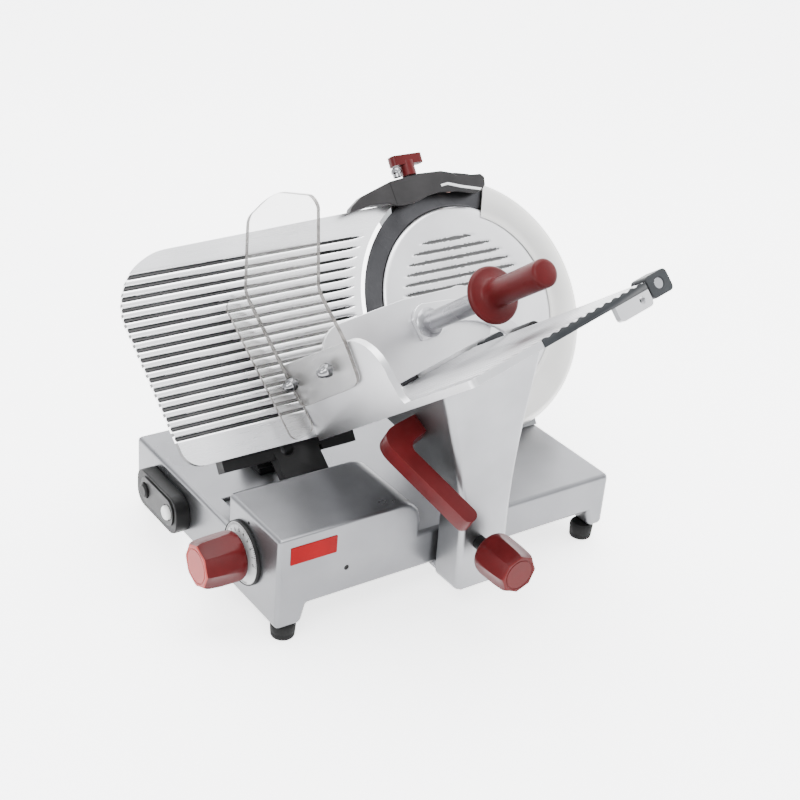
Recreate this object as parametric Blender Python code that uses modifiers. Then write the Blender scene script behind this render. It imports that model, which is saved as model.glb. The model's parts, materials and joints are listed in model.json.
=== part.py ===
"""Gravity-feed deli meat slicer with a 300 mm blade, modelled as separate pieces.

Lengths below are millimetres and the helpers turn them into metres. In the machine frame
X runs along the carriage travel, Y runs from the operator to the rear and Z is up, with
Z = 0 on the table. Three tilted frames hang from it: the blade frame (X, up the blade,
out of the blade), the food tray's wall and floor frames, and the pusher frame.
"""

import math

import bmesh
import bpy
from mathutils import Matrix, Vector

MM = 0.001
GAP = 0.3

# Driving dimensions.
BLADE_R = 150.0
BLADE_TILT = math.radians(36.1)
TRAY_SKEW = math.radians(12.75)
BASE_L = 451.0
BASE_W = 328.0
BASE_TOP = 88.0
FOOT_H = 20.0
BLOCK_L = 178.0
BLOCK_W = 107.0
BLOCK_TOP = 129.5
WALL_T = 6.0

# The row's origin, at the middle of the whole slicer's box on the table.
ORIGIN = Vector((248.2, 119.31, 0.0))

X_AXIS = Vector((1, 0, 0))
BLADE_UP = Vector((0, math.sin(BLADE_TILT), math.cos(BLADE_TILT)))
BLADE_OUT = Vector((0, -math.cos(BLADE_TILT), math.sin(BLADE_TILT)))
TRAY_D = X_AXIS * math.cos(TRAY_SKEW) + BLADE_UP * math.sin(TRAY_SKEW)
TRAY_W = BLADE_UP * math.cos(TRAY_SKEW) - X_AXIS * math.sin(TRAY_SKEW)

BLADE_CENTRE = Vector((393.4, 215.9, 228.3))
TRAY_CORNER = Vector((139.4, 150.4, 146.9))
PUSHER_ROD_D = 256.0
PUSHER_ROD_W = -8.0
PUSHER_AXIS = TRAY_CORNER + TRAY_D * PUSHER_ROD_D + TRAY_W * PUSHER_ROD_W


def frame(origin, x_axis, y_axis):
    """Matrix of a frame whose Z is x_axis cross y_axis, with its origin given in mm."""
    x_dir = Vector(x_axis).normalized()
    y_dir = Vector(y_axis).normalized()
    matrix = Matrix((x_dir, y_dir, x_dir.cross(y_dir))).transposed().to_4x4()
    matrix.translation = (Vector(origin) - ORIGIN) * MM
    return matrix


MACHINE = frame((0, 0, 0), (1, 0, 0), (0, 1, 0))
FRONT = frame((0, 0, 0), (1, 0, 0), (0, 0, 1))
SIDE = frame((0, 0, 0), (0, 1, 0), (0, 0, 1))
BLADE = frame(BLADE_CENTRE, X_AXIS, BLADE_UP)
TRAY_WALL = frame(TRAY_CORNER, BLADE_OUT, TRAY_W)
TRAY_FLOOR = frame(TRAY_CORNER, TRAY_D, BLADE_OUT)
TRAY_END = frame(TRAY_CORNER, TRAY_D, TRAY_W)
PUSHER = frame(PUSHER_AXIS, TRAY_D, TRAY_W)


# ---------------------------------------------------------------- scene and materials

def clear_scene():
    for obj in list(bpy.data.objects):
        bpy.data.objects.remove(obj, do_unlink=True)


def make_collection(name):
    collection = bpy.data.collections.new(name)
    bpy.context.scene.collection.children.link(collection)
    return collection


def make_material(name, colour, roughness, metallic):
    material = bpy.data.materials.new(name)
    material.use_nodes = True
    shader = material.node_tree.nodes["Principled BSDF"]
    shader.inputs["Base Color"].default_value = (*colour, 1.0)
    shader.inputs["Roughness"].default_value = roughness
    shader.inputs["Metallic"].default_value = metallic
    material.diffuse_color = (*colour, 1.0)
    return material


clear_scene()
PARTS = make_collection("deli_meat_slicer")
CUTTERS = make_collection("cutters")

CAST = make_material("cast_aluminium", (0.62, 0.62, 0.63), 0.42, 0.9)
BRIGHT = make_material("bright_aluminium", (0.78, 0.78, 0.78), 0.3, 1.0)
STEEL = make_material("ground_steel", (0.55, 0.56, 0.58), 0.22, 1.0)
BLADE_STEEL = make_material("blade_steel", (0.09, 0.1, 0.12), 0.3, 0.9)
CHROME = make_material("chrome", (0.8, 0.8, 0.8), 0.08, 1.0)
RED = make_material("red_plastic", (0.17, 0.015, 0.018), 0.35, 0.0)
DARK = make_material("dark_grey_plastic", (0.09, 0.08, 0.08), 0.5, 0.0)
BLACK = make_material("black_plastic", (0.02, 0.02, 0.02), 0.5, 0.0)
RUBBER = make_material("black_rubber", (0.015, 0.015, 0.015), 0.8, 0.0)
WHITE = make_material("white_plastic", (0.8, 0.8, 0.78), 0.4, 0.0)
CLEAR = make_material("clear_plastic", (0.9, 0.92, 0.92), 0.05, 0.0)
BRONZE = make_material("bronze", (0.45, 0.28, 0.12), 0.35, 1.0)
STONE = make_material("grinding_stone", (0.35, 0.2, 0.17), 0.9, 0.0)
COPPER = make_material("copper_winding", (0.4, 0.16, 0.07), 0.4, 0.8)
BOARD = make_material("circuit_board", (0.02, 0.12, 0.05), 0.5, 0.0)


# ---------------------------------------------------------------- modelling helpers

def place(obj, name, matrix, material):
    obj.name = name
    obj.data.name = name
    obj.matrix_world = matrix
    if material is None:
        CUTTERS.objects.link(obj)
        obj.hide_render = True
        obj.display_type = "WIRE"
    else:
        PARTS.objects.link(obj)
        obj.data.materials.append(material)
    return obj


def welded_mesh(obj):
    """The evaluated object as one mesh with its loose caps welded on."""
    graph = bpy.context.evaluated_depsgraph_get()
    mesh = bpy.data.meshes.new_from_object(obj.evaluated_get(graph), depsgraph=graph)
    work = bmesh.new()
    work.from_mesh(mesh)
    bmesh.ops.remove_doubles(work, verts=work.verts, dist=1e-6)
    bmesh.ops.recalc_face_normals(work, faces=work.faces)
    work.to_mesh(mesh)
    work.free()
    mesh.materials.clear()
    return mesh


def bake(obj):
    """A mesh object made from a curve or a modified mesh, with the source removed."""
    bpy.context.scene.collection.objects.link(obj)
    bpy.context.view_layer.update()
    mesh = welded_mesh(obj)
    bpy.data.objects.remove(obj, do_unlink=True)
    return bpy.data.objects.new("baked", mesh)


def plate(name, outline, low, high, matrix, material=None, holes=()):
    """A flat outline in the frame's XY plane, solid from low to high along its Z."""
    curve = bpy.data.curves.new(name, "CURVE")
    curve.dimensions = "2D"
    curve.fill_mode = "BOTH"
    curve.extrude = (high - low) / 2 * MM
    for points in (outline, *holes):
        spline = curve.splines.new("POLY")
        spline.points.add(len(points) - 1)
        spline.use_cyclic_u = True
        for point, (x, y) in zip(spline.points, points):
            point.co = (x * MM, y * MM, 0, 1)
    obj = bake(bpy.data.objects.new(name, curve))
    lift = Matrix.Translation((0, 0, (high + low) / 2 * MM))
    return place(obj, name, matrix @ lift, material)


def turned(name, profile, matrix, material=None, steps=32, closed=False):
    """A profile of (radius, height) points, outer side top to bottom, turned about Z."""
    mesh = bpy.data.meshes.new(name)
    work = bmesh.new()
    verts = [work.verts.new((radius * MM, 0, height * MM)) for radius, height in profile]
    for first, second in zip(verts, verts[1:]):
        work.edges.new((first, second))
    if closed:
        work.edges.new((verts[-1], verts[0]))
    work.to_mesh(mesh)
    work.free()
    obj = bpy.data.objects.new(name, mesh)
    screw = obj.modifiers.new("turn", "SCREW")
    screw.axis = "Z"
    screw.steps = steps
    screw.render_steps = steps
    screw.use_merge_vertices = True
    screw.merge_threshold = 0.00001
    obj = bake(obj)
    obj.data.shade_smooth()
    obj.data.set_sharp_from_angle(angle=math.radians(35))
    return place(obj, name, matrix, material)


def disc(radius, low, high):
    """Profile of a plain cylinder."""
    return [(0, high), (radius, high), (radius, low), (0, low)]


def ring(outer, inner, low, high):
    """Closed profile of a plain ring."""
    return [(outer, high), (outer, low), (inner, low), (inner, high)]


def at(matrix, x, y, z=0.0):
    """The same frame with its origin moved, in mm along its own axes."""
    return matrix @ Matrix.Translation((x * MM, y * MM, z * MM))


def soften(obj, width, segments=2):
    """Rounded edges."""
    bevel = obj.modifiers.new("soften", "BEVEL")
    bevel.width = width * MM
    bevel.segments = segments
    bevel.limit_method = "ANGLE"
    bevel.angle_limit = math.radians(40)
    return obj


def boolean(obj, other, operation, solver="EXACT"):
    modifier = obj.modifiers.new(operation.lower(), "BOOLEAN")
    modifier.operation = operation
    modifier.object = other
    modifier.solver = solver
    return obj


def cut(obj, *cutters):
    for cutter in cutters:
        boolean(obj, cutter, "DIFFERENCE")
    return obj


def join(obj, *others):
    for other in others:
        boolean(obj, other, "UNION")
    return obj


def arc(centre_x, centre_y, radius, start, end, steps):
    """Points along an arc, with angles in degrees."""
    points = []
    for index in range(steps + 1):
        angle = math.radians(start + (end - start) * index / steps)
        points.append((centre_x + radius * math.cos(angle), centre_y + radius * math.sin(angle)))
    return points


def circle(x, y, radius, steps=20):
    return arc(x, y, radius, 0, 360, steps)[:-1]


def rectangle(x_low, x_high, y_low, y_high, corner=0.0, steps=4):
    """A rectangle, with round corners if a corner radius is given."""
    if not corner:
        return [(x_low, y_low), (x_high, y_low), (x_high, y_high), (x_low, y_high)]
    points = arc(x_low + corner, y_low + corner, corner, 180, 270, steps)
    points += arc(x_high - corner, y_low + corner, corner, 270, 360, steps)
    points += arc(x_high - corner, y_high - corner, corner, 0, 90, steps)
    points += arc(x_low + corner, y_high - corner, corner, 90, 180, steps)
    return points


def bend(first, control, last, steps):
    """Points along a quadratic curve, in two or three dimensions."""
    points = []
    for index in range(steps + 1):
        part = index / steps
        weights = ((1 - part) ** 2, 2 * part * (1 - part), part ** 2)
        corners = zip(first, control, last)
        points.append(tuple(sum(w * c for w, c in zip(weights, corner)) for corner in corners))
    return points


def lobed(radius, depth, lobes, steps_per_lobe=6):
    """Outline of a hand knob: round lobes with shallow flutes between them."""
    points = []
    for index in range(lobes * steps_per_lobe):
        angle = 2 * math.pi * index / (lobes * steps_per_lobe)
        dip = depth * (0.5 - 0.5 * math.cos(lobes * angle)) ** 2
        points.append(((radius - dip) * math.cos(angle), (radius - dip) * math.sin(angle)))
    return points


# ---------------------------------------------------------------- base

def base_casting():
    front = [(0, FOOT_H), (31, FOOT_H), (37, 42), (425, 42), (431, FOOT_H), (BASE_L, FOOT_H),
             (BASE_L, BASE_TOP), (0, BASE_TOP)]
    base = plate("base_casting", front, -BASE_W, 0, FRONT, CAST)
    soften(base, 5)
    shoulder = 25.0
    inset = 0.2
    top = [(inset, 60), (BLOCK_L, 60)]
    top += arc(BLOCK_L - shoulder, BLOCK_TOP - shoulder, shoulder, 0, 90, 6)
    top += [(inset, BLOCK_TOP)]
    block = plate("front_block", top, -BLOCK_W, -inset, FRONT)
    soften(block, 5)
    join(base, block)
    post_x = 34.0
    post_y = 31.0
    deep_plan = rectangle(post_x, BASE_L - post_x, WALL_T, BASE_W - WALL_T)
    wide_plan = rectangle(WALL_T, BASE_L - WALL_T, post_y, BASE_W - post_y)
    deep_hollow = plate("base_hollow_deep", deep_plan, 5, BASE_TOP - WALL_T, MACHINE)
    wide_hollow = plate("base_hollow_wide", wide_plan, 5, BASE_TOP - WALL_T, MACHINE)
    block_plan = rectangle(WALL_T, BLOCK_L - WALL_T, WALL_T + 2, BLOCK_W - WALL_T)
    block_hollow = plate("block_hollow", block_plan, 74, BLOCK_TOP - WALL_T, MACHINE)
    shaft_hole = turned("shaft_hole", disc(6.5, -20, 20), at(SIDE, 70, 77), steps=20)
    follower_slot = plate("follower_slot", rectangle(21, 37, 108.5, 160), 70, 100, MACHINE)
    gland_hole = turned("gland_hole", disc(8.4, -20, 20), at(FRONT, 60, 60, -BASE_W), steps=20)
    screw_hole = turned("screw_hole", disc(3.2, -3, 3), at(FRONT, 84, 73), steps=16)
    cut(base, deep_hollow, wide_hollow, block_hollow)
    for small_cutter in (shaft_hole, follower_slot, gland_hole, screw_hole):
        boolean(base, small_cutter, "DIFFERENCE", "MANIFOLD")


def bottom_cover():
    outline = rectangle(WALL_T + GAP, BASE_L - WALL_T - GAP, 130, 296)
    plate("bottom_cover", outline, 24, 26, MACHINE, BRIGHT)


def feet():
    profile = [(0, FOOT_H - GAP), (12, FOOT_H - GAP), (14, 15), (13, 1.5), (11.5, 0), (0, 0)]
    places = {"foot_front_left": (18, 15), "foot_front_right": (BASE_L - 18, 15),
              "foot_rear_left": (18, BASE_W - 18), "foot_rear_right": (BASE_L - 18, BASE_W - 18)}
    for name, (x, y) in places.items():
        turned(name, profile, at(MACHINE, x, y), RUBBER, steps=24)


def control_board():
    outline = rectangle(70, 160, 190, 270)
    plate("control_board", outline, 78, BASE_TOP - WALL_T - GAP, MACHINE, BOARD)


def cable_gland():
    profile = [(12, 14), (12, 4), (14, 4), (14, GAP), (8, GAP), (8, -9), (4, -9), (4, 14)]
    rear = frame((60, BASE_W, 60), (-1, 0, 0), (0, 0, 1))
    turned("cable_gland", profile, rear, BLACK, steps=20, closed=True)


# ---------------------------------------------------------------- switch

SWITCH_Z = 53.5
SWITCH_DEPTH = 18.0
SHELL_T = 4.0
START_Y = 264.0
STOP_Y = 210.0
BUTTON_R = 8.5
BUTTON_TOP = 24.0


def switch():
    housing = plate("switch_housing", rectangle(191, 290, 28, 74, 17, 5), -SWITCH_DEPTH, -GAP,
                    SIDE, BLACK)
    inside = rectangle(191 + SHELL_T, 290 - SHELL_T, 28 + SHELL_T, 74 - SHELL_T, 13, 4)
    cut(housing, plate("switch_hollow", inside, SHELL_T - SWITCH_DEPTH, 5, SIDE))
    face_holes = [circle(START_Y, SWITCH_Z, BUTTON_R + 1), circle(STOP_Y, SWITCH_Z, BUTTON_R + 1)]
    for index, hole in enumerate(face_holes):
        cut(housing, plate(f"button_hole_{index}", hole, -30, -10, SIDE))
    face = rectangle(197, 277, 37, 70, 14, 5)
    plate("switch_face_plate", face, -SWITCH_DEPTH - 2, -SWITCH_DEPTH - GAP, SIDE, DARK,
          face_holes)
    for name, y, material in (("start_button", START_Y, BLACK), ("stop_button", STOP_Y, WHITE)):
        profile = [(0, -6), (6.5, -6), (6.5, -12), (BUTTON_R, -12), (BUTTON_R, 1.5 - BUTTON_TOP),
                   (BUTTON_R - 1.5, -BUTTON_TOP), (0, -BUTTON_TOP)]
        turned(name, profile, at(SIDE, y, SWITCH_Z), material, steps=24)


# ---------------------------------------------------------------- thickness gauge

DIAL_Y = 70.0
DIAL_Z = 77.0
GAUGE_ROD_X = -293.4
GAUGE_ROD_P = -112.0
POST_LEFT = 83.0
POST_RIGHT = 139.0


def thickness_dial():
    axis = at(SIDE, DIAL_Y, DIAL_Z)
    turned("dial_ring", ring(36, 9, -5, -GAP), axis, WHITE, steps=40, closed=True)
    knob = plate("thickness_knob", lobed(28, 3.0, 8), -57, -9, axis, RED)
    soften(knob, 4)
    turned("knob_shaft", disc(6, -9 + GAP, 36), axis, STEEL, steps=20)
    inner = 13.0
    outer = 25.0
    spiral = []
    for index in range(37):
        turn = index / 36
        angle = math.radians(-270 * turn)
        radius = inner + (outer - inner) * turn
        spiral.append((radius * math.cos(angle), radius * math.sin(angle)))
    bore = circle(0, 0, 6 + GAP)
    plate("gauge_cam", spiral, 12, 20, axis, BRONZE, [bore])


def gauge_plate():
    outline = arc(-373, 61, 70, 90, 180, 8)
    outline += arc(-396, -84, 24, 190, 270, 4)
    bottom_angle = math.degrees(math.asin(-109 / 155))
    top_angle = math.degrees(math.asin(139 / 155))
    outline += arc(0, 0, 155, 180 - bottom_angle, 180 - top_angle, 14)
    plate("gauge_plate", outline, -7, 0, BLADE, BRIGHT)


def gauge_carrier():
    """The moving bracket: it holds the plate, rides on the guide rod and feels the cam."""
    bar = [(-374, -121), (-307, -121), (-300, -117), (-250, -117), (-250, -123), (-205, -123),
           (-205, -90), (-374, -84)]
    carrier = plate("gauge_carrier", bar, -24, -7 - GAP, BLADE, BLACK)
    boss = turned("carrier_boss", disc(12, -40, -20), at(BLADE, GAUGE_ROD_X, GAUGE_ROD_P),
                  steps=24)
    rod_hole = turned("carrier_bore", disc(8.25, -60, 20), at(BLADE, GAUGE_ROD_X, GAUGE_ROD_P),
                      steps=24)
    follower_side = [(87, 66), (87, 80), (115, 80), (121, 97), (121, 107.5), (130.5, 107.5),
                     (130.5, 97), (126, 66)]
    follower = plate("gauge_follower", follower_side, 24, 33, SIDE)
    cross_bar = plate("gauge_cross_bar", rectangle(119, 132, 98, 108), 24.5, POST_RIGHT - 0.5,
                      SIDE)
    column_side = [(119.5, 98.5), (131.5, 98.5), (168.9, 126.4), (157.6, 134.7), (119.5, 107.5)]
    column = plate("gauge_column", column_side, POST_LEFT, POST_RIGHT, SIDE)
    join(carrier, column, cross_bar, follower, boss)
    cut(carrier, rod_hole)


def gauge_support():
    side = [(183, BASE_TOP + GAP), (236, BASE_TOP + GAP), (226, 118), (200, 126), (190, 120)]
    post = plate("gauge_support_post", side, POST_LEFT, POST_RIGHT, SIDE, BLACK)
    rod_hole = turned("post_bore", disc(8 + GAP, -120, 40), at(BLADE, GAUGE_ROD_X, GAUGE_ROD_P),
                      steps=24)
    room = plate("carrier_room", rectangle(-400, -190, -125, -60), -56, 40, BLADE)
    cut(post, rod_hole, room)
    turned("gauge_guide_rod", disc(8, -72, -26), at(BLADE, GAUGE_ROD_X, GAUGE_ROD_P), STEEL,
           steps=24)


# ---------------------------------------------------------------- blade and drive

MOTOR_X = 78.0
MOTOR_P = -5.0
HOUSING_BACK = -50.0
HOUSING_FRONT = -18.0
TIE_ROD_R = 4.0
LIP_R = 113.5


def blade():
    profile = [(BLADE_R, 0), (BLADE_R - 2, -2.5), (126, -8), (30, -10), (9.3, -10), (9.3, -7),
               (120, -5), (126.5, -1.2)]
    turned("blade", profile, BLADE, BLADE_STEEL, steps=72, closed=True)


def blade_cover():
    """The blade's cover, with the rod that holds it through the hollow blade shaft."""
    profile = [(0, 2), (122.5, 2), (124.5, 0), (124.5, -0.9), (118, -4.5), (TIE_ROD_R, -4.5),
               (TIE_ROD_R, -76), (0, -76)]
    cover = turned("blade_cover", profile, BLADE, BRIGHT, steps=72)
    pitch = 11.6
    for index in range(7):
        height = 84.5 - pitch * index
        left = -math.sqrt(100 ** 2 - height ** 2)
        right = math.sqrt(90 ** 2 - height ** 2)
        half = 2.4
        groove = arc(right - half, height, half, -90, 90, 4)
        groove += arc(left + half, height, half, 90, 270, 4)
        cut(cover, plate(f"cover_groove_{index}", groove, 0.8, 10, BLADE))


def ring_guard():
    channel = [(157, 3.5), (160, 0.5), (160, -17.7), (140, -17.7), (140, -14), (155, -14),
               (155, 1.5), (127, 1.5), (125.5, 2.4), (LIP_R, 2.4), (LIP_R, 3.5)]
    guard = turned("ring_guard", channel, BLADE, BRIGHT, steps=72, closed=True)
    sector = [(0, 0)] + arc(0, 0, 260, 66.3, 238, 8)
    cut(guard, plate("guard_opening", sector, -40, 40, BLADE))


def drive_housing():
    """The casting that stands on the base and carries the blade shaft."""
    outline = arc(0, 0, 60, 140, 222, 6)
    outline += [(-46, -100), (-50, -185), (BASE_L - BLADE_CENTRE.x, -185), (57, -120)]
    outline += arc(MOTOR_X - 8, MOTOR_P, 52, -60, 50, 6)
    outline += [(60, 60), (44, 130), (30, 168), (-60, 168), (-66, 130)]
    housing = plate("drive_housing", outline, HOUSING_BACK, HOUSING_FRONT, BLADE, CAST)
    inset = arc(0, 0, 44, 110, 250, 10) + arc(MOTOR_X, MOTOR_P, 30, -80, 80, 8)
    pocket = plate("belt_pocket", inset, HOUSING_BACK - 5, -34, BLADE)
    bore = turned("bearing_bore", disc(20 + GAP, -60, 10), BLADE, steps=32)
    under = plate("table_side", rectangle(-100, 600, -100, 500), -100, BASE_TOP + GAP, MACHINE)
    cut(housing, pocket, bore, under)


def mount_plate():
    outline = arc(0, 0, 50, 100, 260, 10) + arc(MOTOR_X, MOTOR_P, 48, -85, 85, 12)
    holes = [circle(0, 0, 6), circle(MOTOR_X, MOTOR_P, 8)]
    plate("motor_mount_plate", outline, HOUSING_BACK - 4.3, HOUSING_BACK - GAP, BLADE, CAST, holes)


def motor():
    axis = at(BLADE, MOTOR_X, MOTOR_P)
    front = HOUSING_BACK - 4.3 - GAP
    back = front - 95
    shell = [(45, front), (45, back + 8), (37, back), (5, back), (5, back + 4), (35, back + 4),
             (41, back + 10), (41, front)]
    turned("motor_casing", shell, axis, CAST, steps=40, closed=True)
    turned("motor_stator", ring(41 - GAP, 27, back + 20, front - 12), axis, COPPER, steps=32,
           closed=True)
    rotor = [(0, -37), (6, -37), (6, front - 8), (25, front - 8), (25, back + 18), (6, back + 18),
             (6, back + 6), (0, back + 6)]
    turned("motor_rotor", rotor, axis, STEEL, steps=32)
    turned("motor_pulley", ring(12, 6 + GAP, -48, -37), axis, BRIGHT, steps=24, closed=True)


def belt_drive():
    turned("blade_pulley", ring(32, 9 + GAP, -48, -37), BLADE, BRIGHT, steps=40, closed=True)
    outside = belt_outline(3.0)
    inside = belt_outline(GAP)
    plate("drive_belt", outside, -47, -38, BLADE, RUBBER, [inside])


def belt_outline(offset):
    """The open belt's path around both pulleys, offset outwards."""
    big = 32.0 + offset
    small = 12.0 + offset
    span = math.hypot(MOTOR_X, MOTOR_P)
    heading = math.degrees(math.atan2(MOTOR_P, MOTOR_X))
    lean = math.degrees(math.acos((big - small) / span))
    points = arc(0, 0, big, heading + lean, heading + 360 - lean, 24)
    points += arc(MOTOR_X, MOTOR_P, small, heading - lean, heading + lean, 12)
    return points


def blade_shaft():
    shaft = [(9, -10 - GAP), (9, -50), (4.4, -50), (4.4, -10 - GAP)]
    turned("blade_shaft", [(16, -10 - GAP), (16, -17), (9, -17)] + shaft[1:], BLADE, STEEL,
           steps=32, closed=True)
    turned("blade_bearing", ring(20, 9 + GAP, -33, -19), BLADE, STEEL, steps=32, closed=True)


def cover_knob():
    """The release knob that screws onto the cover's rod behind the drive housing."""
    bore = TIE_ROD_R + GAP
    profile = [(0, -77), (bore, -77), (bore, -58), (17, -58), (17, -80), (14, -83), (0, -83)]
    turned("cover_release_knob", profile, BLADE, RED, steps=32)


# ---------------------------------------------------------------- sharpener

def sharpener():
    band = arc(0, 0, 166, 69, 113, 8) + arc(0, 0, 153, 113, 69, 8)
    plate("sharpener_body", band, HOUSING_FRONT + GAP, 4, BLADE, DARK)
    outline = [(-145, 133), (-140, 140), (-124, 150), (-79, 162.5), (-36, 167), (-3, 166),
               (11, 162), (19, 156.5), (54, 154.5), (58, 150), (56, 140), (49, 134.5), (38, 132),
               (13, 138), (-14, 140.5), (-30, 138.5), (-47, 133.5), (-65, 131.5), (-77, 132),
               (-89, 137), (-115, 138)]
    cover = plate("sharpener_cover", outline, 4 + GAP, 17, BLADE, DARK)
    soften(cover, 2)
    pocket = arc(0, 0, 161, 72, 124, 10) + arc(0, 0, 128, 124, 72, 10)
    cut(cover, plate("stone_pocket", pocket, -5, 13.5, BLADE))
    for name, x, p in (("grinding_stone", -47, 143.5), ("honing_stone", 8, 149)):
        stone = [(0, 13), (2.5, 13), (2.5, 10), (9, 10), (9, 5), (0, 5)]
        turned(name, stone, at(BLADE, x, p), STONE, steps=24)
    up = frame(BLADE_CENTRE, BLADE_OUT, X_AXIS)
    knob = turned("sharpener_knob", disc(9, 167 + GAP, 185), at(up, 10, -45), RED, steps=24)
    wings = plate("knob_wings", rectangle(3, 17, -67, -23, 5, 3), 180.5, 192.5, up)
    join(knob, wings)
    turned("honing_button", disc(6.5, 167.5, 179.5), at(up, 10, -62), CHROME, steps=20)


# ---------------------------------------------------------------- carriage

ROD_Y = 44.0
ROD_Z = 46.0
GUIDE_Y = 100.0


def carriage_slide():
    inner = WALL_T + GAP
    turned("carriage_rod", disc(10, inner, BASE_L - inner), at(SIDE, ROD_Y, ROD_Z), STEEL)
    turned("guide_rod", disc(6, inner, BASE_L - inner), at(SIDE, GUIDE_Y, ROD_Z), STEEL, steps=24)
    block = plate("slider_block", rectangle(20, 116, 27, 66, 4, 2), 205, 255, SIDE, CAST)
    cut(block, turned("rod_bore", disc(13 + GAP, 190, 270), at(SIDE, ROD_Y, ROD_Z), steps=32))
    cut(block, turned("guide_bore", disc(6.35, 190, 270), at(SIDE, GUIDE_Y, ROD_Z), steps=24))
    for name, low in (("slider_bush_left", 205), ("slider_bush_right", 237)):
        turned(name, ring(13, 10.08, low, low + 18), at(SIDE, ROD_Y, ROD_Z), BRONZE, steps=32,
               closed=True)


ARM_FRONT = -46.0
ARM_BACK = -6.0


def arm_left(clearance=0.0):
    """The arm's left edge, top to bottom, moved out by a clearance."""
    edge = bend((141, 325), (176, 228), (197, 130), 8) + [(198, 80), (199, 30)]
    return [(x - clearance, z) for x, z in edge]


def carriage_arm():
    right = [(258, 30), (263, 83)] + bend((262, 130), (262, 220), (285, 340), 8)
    left = arm_left()
    arm = plate("carriage_arm", right + left, -130, 46, FRONT, CAST)
    side = [(ARM_FRONT, 20), (ARM_BACK, 20), (ARM_BACK, 128), (14, 150), (34, 168), (60, 182),
            (110, 188), (130, 200), (130, 400), (ARM_FRONT, 400)]
    soften(arm, 7)
    profile = plate("arm_side_profile", side, 100, 400, SIDE)
    boolean(arm, profile, "INTERSECT", "MANIFOLD")
    head_room = plate("tray_room", rectangle(-200, 500, -300, 600), -200, 8 + GAP, TRAY_FLOOR)
    boolean(arm, head_room, "DIFFERENCE", "MANIFOLD")
    foot = plate("arm_foot", rectangle(206, 254, 31, 40.5), -20 + GAP, 44, FRONT)
    boolean(arm, foot, "UNION", "MANIFOLD")


def carriage_handle():
    """The red push handle: a flat bar that turns a corner into a foot on the arm's side."""
    elbow = Vector((140, 14, 203))
    bar = Vector((184, -78, 144)) - elbow
    foot = Vector((175, 18, 208)) - elbow
    across = bar.cross(foot).cross(bar)
    outline = [(20, 13), (24, 50), (-3, 50), (-10.5, 12)]
    outline += bend((-11, 8), (-14, -13), (12, -13), 6)
    outline += arc(112, -7, 6, -90, 0, 3) + arc(108, 3, 10, 0, 90, 3)
    handle = plate("carriage_handle", outline, -12.5, 12.5, frame(elbow, bar, across), RED)
    soften(handle, 5)
    face = arm_left(GAP + 0.2) + [(400, 30), (400, 325)]
    boolean(handle, plate("handle_face", face, -200, 200, FRONT), "DIFFERENCE", "MANIFOLD")


def lock_knob():
    axis = at(FRONT, 222, 90)
    knob = plate("carriage_lock_knob", lobed(25, 2.5, 8), 68, 117, axis, RED)
    soften(knob, 4)
    join(knob, turned("lock_stem", disc(8, 46 + GAP, 75), axis, steps=20))


# ---------------------------------------------------------------- food tray

BOLT_PLACES = ((20, 63), (102, 62))


def food_tray():
    floor = rectangle(-8, 240, 5, 325, 8, 3)
    tray = plate("food_tray", floor, 0, 8, TRAY_FLOOR, BRIGHT)
    wall = [(5, -8), (204, -8), (196, 8), (194, 30)]
    wall += arc(150, 36, 45, 0, 90, 8)
    wall += [(5, 85)]
    join(tray, plate("tray_wall", wall, 0, 8, TRAY_WALL))
    tab = rectangle(188, 238, -25, -4, 5, 3)
    join(tray, plate("tray_tab", tab, 318, 325, TRAY_END, holes=[circle(225, -15, 4)]))
    for index, along in enumerate(BOLT_PLACES):
        bolt = turned(f"wall_bolt_hole_{index}", disc(3.6, -10, 30), at(TRAY_WALL, *along),
                      steps=16)
        cut(tray, bolt)


def hand_guard():
    outline = [(9, 34), (129, 34), (145, 39), (155, 81), (153, 125), (154, 142), (225, 214),
               (222, 226), (169, 247), (140, 248), (90, 243), (9, 175)]
    sheet = plate("hand_guard", outline, 8 + GAP, 12.5, TRAY_WALL, CLEAR)
    flange = rectangle(-40, -8.5, 5, 175, 10, 4)
    join(sheet, plate("guard_flange", flange, 6, 10.5, TRAY_END))
    for index, along in enumerate(BOLT_PLACES):
        cut(sheet, turned(f"guard_bolt_hole_{index}", disc(3.6, -10, 30),
                          at(TRAY_WALL, *along), steps=16))
        nut = [(0, 27), (4, 26), (5.5, 23), (6.5, 19), (7.5, 18.5), (8, 13), (3.2, 13), (3.2, -3),
               (0, -3)]
        turned(f"guard_bolt_{index + 1}", nut, at(TRAY_WALL, *along), CHROME, steps=16)


# ---------------------------------------------------------------- pusher

def from_rod(points):
    """Tray coordinates measured from the pusher rod's axis."""
    return [(d - PUSHER_ROD_D, w - PUSHER_ROD_W) for d, w in points]


STEM = (153.0, 54.5)


def pusher_mount():
    rod_hole = circle(PUSHER_ROD_D, PUSHER_ROD_W, 6 + GAP)
    plate("rod_bracket_rear", rectangle(240 + GAP, 272, -21, 4, 5, 3), 8, 24, TRAY_END, DARK,
          [rod_hole])
    plate("rod_bracket_front", rectangle(240 + GAP, 272, -21, 4, 5, 3), 300, 325, TRAY_END, DARK,
          [rod_hole])
    turned("pusher_rod", disc(6, 9, 324), PUSHER, STEEL, steps=24)
    turned("pusher_sleeve", ring(10.5, 6 + GAP, 68 + GAP, 104), PUSHER, BLACK, steps=24,
           closed=True)


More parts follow.
